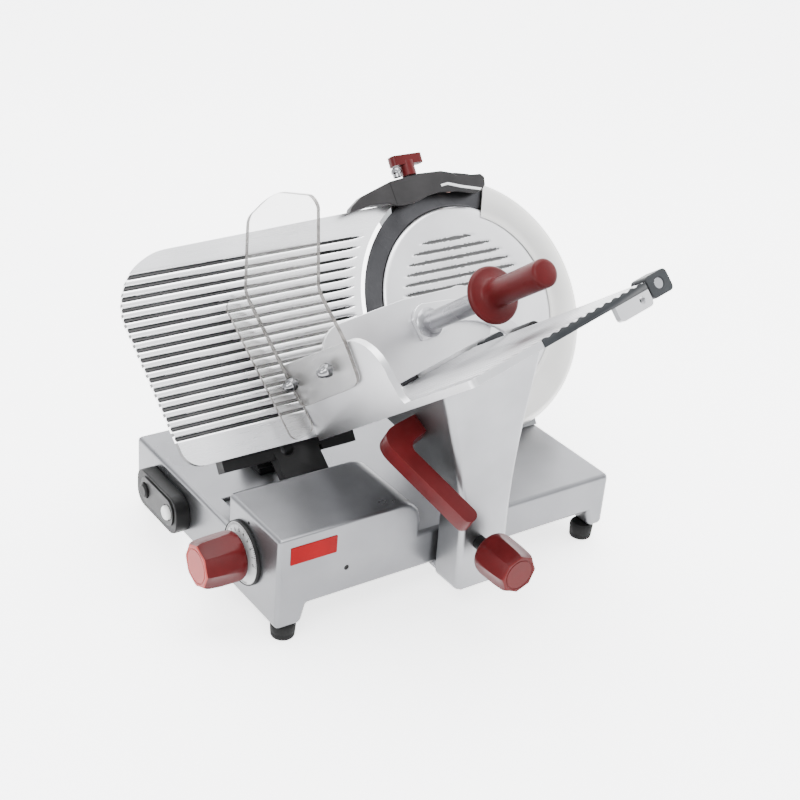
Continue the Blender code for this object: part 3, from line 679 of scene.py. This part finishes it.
PLATE_LOW = -108.0          # the gauge plate's lower edge in the blade's frame
PLATE_HEIGHT = 246.6
PLATE_BLADE_GAP_R = 155.0   # its right end runs round the blade at this radius
TOP_CORNER = (-373, 61, 70)     # the centre and radius of its two left corners
LOW_CORNER = (-396, -84, 24)
TOP_SLOPE = 304.4 / 8       # how far the sloping top edge runs for each mm of height
LEFT_SLOPE = 23.4 / 149.2   # how far the left edge runs in for each mm downwards
LEFT_EDGE_END = -88.2       # where the left edge meets its lower corner


def gauge_edges(y):
    """The gauge plate's left and right ends at a height."""
    right = -math.sqrt(PLATE_BLADE_GAP_R ** 2 - y ** 2)
    top_x, top_y, top_r = TOP_CORNER
    low_x, low_y, low_r = LOW_CORNER
    if y > top_y + top_r:
        left = top_x + (y - top_y - top_r) * TOP_SLOPE
    elif y > top_y:
        left = top_x - math.sqrt(top_r ** 2 - (y - top_y) ** 2)
    elif y > LEFT_EDGE_END:
        left = top_x - top_r + (top_y - y) * LEFT_SLOPE
    else:
        left = low_x - math.sqrt(max(0.0, low_r ** 2 - (y - low_y) ** 2))
    return min(left, right - 0.5), right


def gauge():
    """The slanted plate, with soft grooves and round ribs that stop short of the blade, and painted shade on the
    faces deep in the grooves.
    """
    fade_start, fade_length = 164, 14

    def share(x, y):
        past = math.hypot(x, y) - fade_start
        return min(1.0, max(0.0, past / fade_length)) ** 0.5

    def depth(x, y):
        left, right = gauge_edges(y)
        half_width = 1.9 + 1.7 * (right - x) / (right - left)
        groove = groove_depth(x, y, TOP_GROOVE, PLATE_PITCH, GROOVES, half_width, 2.4, share)
        pitches = (TOP_GROOVE - y) / PLATE_PITCH
        if -0.5 < pitches < GROOVES - 0.5:
            groove += 0.45 * (1 + math.cos(2 * math.pi * pitches)) * share(x, y)
        return groove

    lines = []
    line_count = 420
    for index in range(line_count + 1):
        y = PLATE_LOW + PLATE_HEIGHT * index / line_count
        left, right = gauge_edges(y)
        lines.append((y, left, right))
    sheet = smooth(rows(lines, -7, depth, 90), 50)
    # Painted shade: the faces deep in the grooves get the dark copy of the aluminium.
    second_material(sheet, PLATE_METAL, GROOVE_SHADE_METAL,
                    lambda face: -3.6 * MM < face.center.z < -1.45 * MM)
    settle(sheet, "gauge_plate_fine", BLADE, PLATE_METAL, "gauge", ["gauge_plate"])
    refine(BLACK, "gauge_carrier", "gauge_support_post", width=1.0)


def blade():
    """The blade: a thin dished ring with a bevelled edge."""
    profile = [(BLADE_R, -0.1), (BLADE_R - 0.1, -0.35), (BLADE_R - 2, -2.5), (126, -8), (30, -10),
               (9.3, -10), (9.3, -7), (120, -5), (126.5, -1.2), (BLADE_R - 1.5, 0)]
    settle(smooth(turned(profile, 180), 20), "blade_fine", BLADE, BLADE_STEEL,
           "blade_assembly", ["blade"])


def blade_cover():
    """The turned cover with tapered grooves pressed into its upper part and painted shade on the faces down in
    them, and its tie rod.
    """
    fade_length = 20

    def share(x, y):
        reach = 100 if x < 0 else 90
        room = math.sqrt(reach ** 2 - y ** 2) - abs(x)
        return min(1.0, max(0.0, room / fade_length)) ** 0.5

    rim = [(104 + 4 * step, 2 - 0.02 * step ** 2) for step in range(4)]
    rim += [(119, 1.7), (121.5, 1.2), (123.3, 0.3), (124.3, -0.6), (124.5, -1.4), (118, -4.5),
            (AXIS_HOLE, -4.5)]
    profile = [(AXIS_HOLE + 1.3 * step, 2.0) for step in range(80)] + rim
    rings = []
    steps = 360
    for radius, height in profile:
        ring_points = []
        for index in range(steps):
            x = radius * math.cos(2 * math.pi * index / steps)
            y = radius * math.sin(2 * math.pi * index / steps)
            dip = groove_depth(x, y, 84.5, 11.6, 7, 3.2, 1.7, share) if height > 1.9 else 0.0
            ring_points.append((x, y, height - dip))
        rings.append(ring_points)
    # Painted shade: the faces down in the grooves get the near-black copy of the aluminium.
    cover = second_material(smooth(loft(rings), 40), COVER_METAL, COVER_GROOVE_SHADE,
                            lambda face: 0.1 * MM < face.center.z < 1.55 * MM
                            and face.center.xy.length <= 103 * MM)
    settle(cover, "blade_cover_fine", BLADE, COVER_METAL, "frame", ["blade_cover"])
    rod = smooth(spun([(0, -4), (4, -4), (4, -75.5), (3.5, -76), (0, -76)], 24))
    settle(rod, "cover_rod", BLADE, STEEL, "frame")


def ring_guard():
    """The open ring round the blade, with a rounded outer edge turned back."""
    profile = [(113.5, 2.6), (113.8, 3.4), (114.5, 3.5), (117, 3.5), (117.6, 3.1), (125.5, 3.1),
               (126.5, 3.5)]
    profile += [(150 + 10 * math.sin(turn), -6.5 + 10 * math.cos(turn))
                for turn in (0, 0.26, 0.52, 0.79, 1.05, 1.31, 1.57)]
    profile += [(160, -17.7), (140, -17.7), (140, -14), (155, -14), (155, -5), (150, 1.5),
                (127, 1.5), (125.5, 2.4), (113.5, 2.4)]
    guard = smooth(turned(profile, 120, -122, 188.3), 30)
    settle(guard, "ring_guard_fine", BLADE, GUARD_METAL, "frame", ["ring_guard"])


def sharpener():
    """The sharpener over the blade, with its pale strip, seam, knob and chrome button."""
    refine(DARK, "sharpener_body", width=1.0)
    refine(DARK, "sharpener_cover", width=2.0)
    refine(RED, "sharpener_knob", width=1.2)
    refine(STONE, "grinding_stone", "honing_stone", width=0.4)
    strip = [(-9, 146.5), (0, 147.5), (20, 141), (46, 134.5), (49, 137), (22, 144), (2, 150.5),
             (-9, 149.5)]
    settle(bevelled(plate(strip, 16.5, 17.4), 0.3, 2), "cover_strip", BLADE, WHITE, "sharpener")
    seam = [(-78.5, 134), (-77.3, 134), (-79.3, 161), (-80.5, 161)]
    settle(plate(seam, 16.5, 17.1), "cover_seam", BLADE, BLACK, "sharpener")
    up = axes_at(JOINTS["blade_spin"]["pos_m"], BLADE_OUT, X_AXIS)
    button = smooth(spun([(0, 179.5), (3, 179.2), (5.2, 178), (6.3, 175.5), (6.5, 173),
                          (5.2, 171.4), (5.2, 167.5), (0, 167.5)], 40))
    settle(button, "honing_button_fine", at(up, 10, -62), CHROME, "honing_plunger",
           ["honing_button"])


# ---------------------------------------------------------------- carriage and tray

def carriage():
    """The arm with its push handle and lock knob."""
    refine(ARM_CAST, "carriage_arm", width=0.0, degrees=50)
    carriage_handle()
    lock = axes_at(JOINTS["carriage_lock_turn"]["pos_m"], (1, 0, 0), (0, 0, 1))
    settle(faceted_knob(25, 22, 71, LOCK_FACE), "carriage_lock_knob_fine", lock, RED,
           "carriage_lock", ["carriage_lock_knob"])
    stem = smooth(spun([(0, 30), (8, 30), (8, 0.5), (0, 0.5)], 32))
    settle(stem, "lock_stem", lock, BLACK, "carriage_lock")


def tray():
    """The food tray with its ribs, its painted-shade edge strip, pusher rod and guard bolts."""
    refine(TRAY_METAL, "food_tray", width=1.0)
    tray_ribs()
    tray_edge()
    refine(SLATE, "rod_bracket_front", "rod_bracket_rear", width=1.0)
    refine(STEEL, "pusher_rod", width=0.4)
    refine(CHROME, "guard_bolt_1", "guard_bolt_2", width=0.0, degrees=40)


def carriage_handle():
    """The red push handle: a bar with well rounded edges that turns into a foot on the arm."""
    elbow = Vector((140, 14, 203))
    bar = Vector((184, -78, 144)) - elbow
    foot = Vector((175, 18, 208)) - elbow
    outline = bend((26, 5), (14, 5), (15, 20), 8) + [(17, 50), (-3, 50), (-10.5, 12)]
    outline += bend((-11, 8), (-14, -13), (12, -13), 10)
    outline += arc(110, -5, 8, -90, 0, 6) + arc(110, -3, 8, 0, 90, 6)
    body = plate(rounded(outline, 2, 2), -11, 11)
    body = bevelled(body, 7.5, 6, 50)
    body.data.transform(MACHINE @ axes_at(elbow * MM, bar, bar.cross(foot).cross(bar)))
    arm_side = bend((141, 325), (176, 228), (197, 130), 8) + [(198, 80), (199, 30)]
    arm = plate([(x - 0.5, z) for x, z in arm_side] + [(400, 30), (400, 325)], -200, 200)
    arm.data.transform(FRONT)
    handle = smooth(cut(body, arm), 40)
    handle.data.materials.clear()
    settle(handle, "carriage_handle_fine", IDENTITY, RED, "carriage", ["carriage_handle"])


def tray_ribs():
    """Low round ribs across the tray's floor, along the direction out of the blade."""
    verts = []
    faces = []
    across = 8
    for number in range(18):
        middle = TRAY_FIRST_RIB + TRAY_PITCH * number
        low = len(verts)
        for n, swell in ((7, 0.0), (13, 1.0), (316, 1.0), (322, 0.0)):
            for side in range(across + 1):
                turn = math.pi * side / across
                verts.append((middle + 4.4 * (0.6 + 0.4 * swell) * math.cos(turn), n,
                              0.3 - 1.5 * swell * math.sin(turn)))
        for level in range(3):
            for side in range(across):
                first = low + level * (across + 1) + side
                faces.append((first, first + 1, first + across + 2, first + across + 1))
    settle(smooth(mesh_object(verts, faces), 80), "tray_ribs", TRAY_FLOOR, TRAY_METAL,
           "carriage")


def tray_edge():
    """A dark strip with a wavy top along the operator's side of the tray: painted shade and dark reflection on the
    floor's edge face.
    """
    start, end, segments = 86, 238, 96
    outline = [(end, -8), (start, -8)]
    for index in range(segments + 1):
        d = start + (end - start) * index / segments
        wave = math.cos(2 * math.pi * (d - TRAY_FIRST_RIB) / TRAY_PITCH)
        outline.append((d, 0.4 + 0.9 * wave))
    strip = bevelled(plate(outline, 324.2, 325.4), 0.3, 1)
    settle(strip, "tray_edge_shade_strip", TRAY_END, SLATE, "carriage")


def hand_guard():
    """The clear guard, its side faces painted darker than the sheet as shade, and its folded flange."""
    outline = [(9, 34), (129, 34), (145, 39), (155, 81), (153, 125), (154, 142), (225, 214),
               (222, 226), (169, 247), (140, 248), (90, 243), (9, 175)]
    sheet = bevelled(plate(rounded(outline, 12), 8 + GAP, 12.5), 0.6, 2)
    settle(two_tone(sheet), "hand_guard_fine", TRAY_WALL, CLEAR, "carriage", ["hand_guard"])
    flange = bevelled(plate(rectangle(-40, -8.5, 5, 175, 10), 6, 10.5), 0.6, 2)
    settle(two_tone(flange), "hand_guard_flange", TRAY_END, CLEAR, "carriage")


def two_tone(sheet):
    """Clear faces with painted shade on the rims: a darker, nearly opaque copy of the clear plastic on the side
    faces.
    """
    return second_material(sheet, CLEAR, CLEAR_EDGE_SHADE, lambda face: abs(face.normal.z) < 0.9)


def pusher():
    """The pusher's plate and arm, with its stem and red grip."""
    refine(COVER_METAL, "pusher_plate", "pusher_arm", width=0.8)
    refine(BLACK, "pusher_sleeve", width=0.6)
    stem_axis = at(PUSHER, PUSHER_STEM_D - PUSHER_ROD_D, PUSHER_STEM_W - PUSHER_ROD_W)
    stem = [(0, 194), (11.5, 194), (11.5, 84), (12.2, 76), (14.5, 70.5), (17.5, 68.3), (0, 68.3)]
    settle(smooth(spun(stem, 64)), "pusher_stem_fine", stem_axis, STEM_METAL, "pusher",
           ["pusher_stem"])
    grip = [(0, 295), (11, 295), (13.6, 294.2), (15.1, 292.6), (15.5, 290), (15.3, 270),
            (15, 240), (15.3, 212), (16.5, 204.5), (19, 202.4), (28, 201.4), (30.6, 200.6),
            (31.8, 199), (32, 197.5), (31.6, 195.8), (30.5, 195), (0, 195)]
    settle(smooth(spun(grip, 72), 60), "pusher_grip_fine", stem_axis, RED, "pusher",
           ["pusher_grip"])


def inside():
    """The shafts, slides, motor and other parts that the covers hide."""
    refine(STEEL, "carriage_rod", "guide_rod", "blade_shaft", "knob_shaft", "gauge_guide_rod",
           "motor_rotor", "blade_bearing", width=0.3)
    refine(CAST, "slider_block", "motor_casing", "motor_mount_plate", width=0.8)
    refine(PLATE_METAL, "bottom_cover", "motor_pulley", "blade_pulley", width=0.3)
    refine(BRONZE, "slider_bush_left", "slider_bush_right", "gauge_cam", width=0.3)
    refine(RUBBER, "drive_belt", width=0.3)
    refine(COPPER, "motor_stator", width=0.5)
    refine(BOARD, "control_board", width=0.3)
    refine(BLACK, "cable_gland", width=0.5)
    refine(RED, "cover_release_knob", width=0.8)


# ---------------------------------------------------------------- stage, light and camera

CAMERA_AZIMUTH = math.radians(-36.75)
CAMERA_ELEVATION = math.radians(27.64)
CAMERA_ROLL = math.radians(5.01)
CAMERA_PLACE = (-670.5, -1078.4, 965.7)     # from the machine frame's origin
CAMERA_LENS = 67.47


def stage():
    """A pale floor that sweeps up behind the object. Lengths here are metres."""
    graph = Graph("pale_floor", roughness=0.6, Emission_Color=(1, 1, 1, 1),
                  Emission_Strength=2.4)
    clouds = graph.noise(graph.mapped(EVEN), 2, 2)
    graph.colours(clouds, (0.86, 0.86, 0.865), (0.88, 0.88, 0.885))
    steps = 24
    front = -3.0
    depth = 2.6
    radius = 1.2
    height = 4.0
    half_width = 4.0
    bend_start = depth - radius
    profile = [(front, 0.0), (bend_start, 0.0)]
    for index in range(steps + 1):
        angle = math.pi / 2 * index / steps
        profile.append((bend_start + radius * math.sin(angle),
                        radius - radius * math.cos(angle)))
    profile.append((depth, height))
    verts = []
    faces = []
    for y, z in profile:
        verts.append((-half_width, y, z))
        verts.append((half_width, y, z))
    for index in range(len(profile) - 1):
        low = index * 2
        faces.append((low, low + 1, low + 3, low + 2))
    mesh = bpy.data.meshes.new("sweep")
    mesh.from_pydata(verts, [], faces)
    sweep = bpy.data.objects.new("sweep", mesh)
    sweep.rotation_euler = (0, 0, CAMERA_AZIMUTH)
    sweep.data.shade_smooth()
    sweep.data.materials.append(graph.material)
    bpy.context.scene.collection.objects.link(sweep)


def area_light(name, place, target, size, power):
    """A rectangular lamp that looks at a target, in metres and watts."""
    light = bpy.data.lights.new(name, "AREA")
    light.shape = "RECTANGLE"
    light.size = size[0]
    light.size_y = size[1]
    light.energy = power
    obj = bpy.data.objects.new(name, light)
    obj.location = place
    obj.rotation_euler = (Vector(target) - Vector(place)).to_track_quat("-Z", "Y").to_euler()
    bpy.context.scene.collection.objects.link(obj)


def lights():
    """An even bright room with three soft lamps."""
    world = bpy.data.worlds.new("studio")
    bpy.context.scene.world = world
    world.use_nodes = True
    background = world.node_tree.nodes["Background"]
    background.inputs["Color"].default_value = (0.97, 0.98, 1, 1)
    background.inputs["Strength"].default_value = 2.3
    area_light("key", (-1.5, -1.3, 2.2), (0, 0, 0.2), (1.6, 1.2), 70)
    area_light("top", (0.2, 0.3, 2.4), (0, 0, 0.15), (2.2, 1.6), 90)
    area_light("side", (2.0, -0.6, 1.0), (0.1, 0, 0.2), (0.8, 1.6), 24)


def camera():
    """The photograph's camera: above the front left corner and a little rolled."""
    data = bpy.data.cameras.new("camera")
    data.sensor_width = 36
    data.lens = CAMERA_LENS
    obj = bpy.data.objects.new("camera", data)
    toward = Vector((math.sin(CAMERA_AZIMUTH) * math.cos(CAMERA_ELEVATION),
                     -math.cos(CAMERA_AZIMUTH) * math.cos(CAMERA_ELEVATION),
                     math.sin(CAMERA_ELEVATION)))
    level = Vector((math.cos(CAMERA_AZIMUTH), math.sin(CAMERA_AZIMUTH), 0))
    over = toward.cross(level)
    right = level * math.cos(CAMERA_ROLL) + over * math.sin(CAMERA_ROLL)
    up = over * math.cos(CAMERA_ROLL) - level * math.sin(CAMERA_ROLL)
    matrix = Matrix((right, up, toward)).transposed().to_4x4()
    matrix.translation = CORNER + Vector(CAMERA_PLACE) * MM
    obj.matrix_world = matrix
    bpy.context.scene.collection.objects.link(obj)
    bpy.context.scene.camera = obj


camera()
stage()
lights()
base()
feet()
controls()
switch()
gauge()
blade()
blade_cover()
ring_guard()
sharpener()
carriage()
tray()
hand_guard()
pusher()
inside()
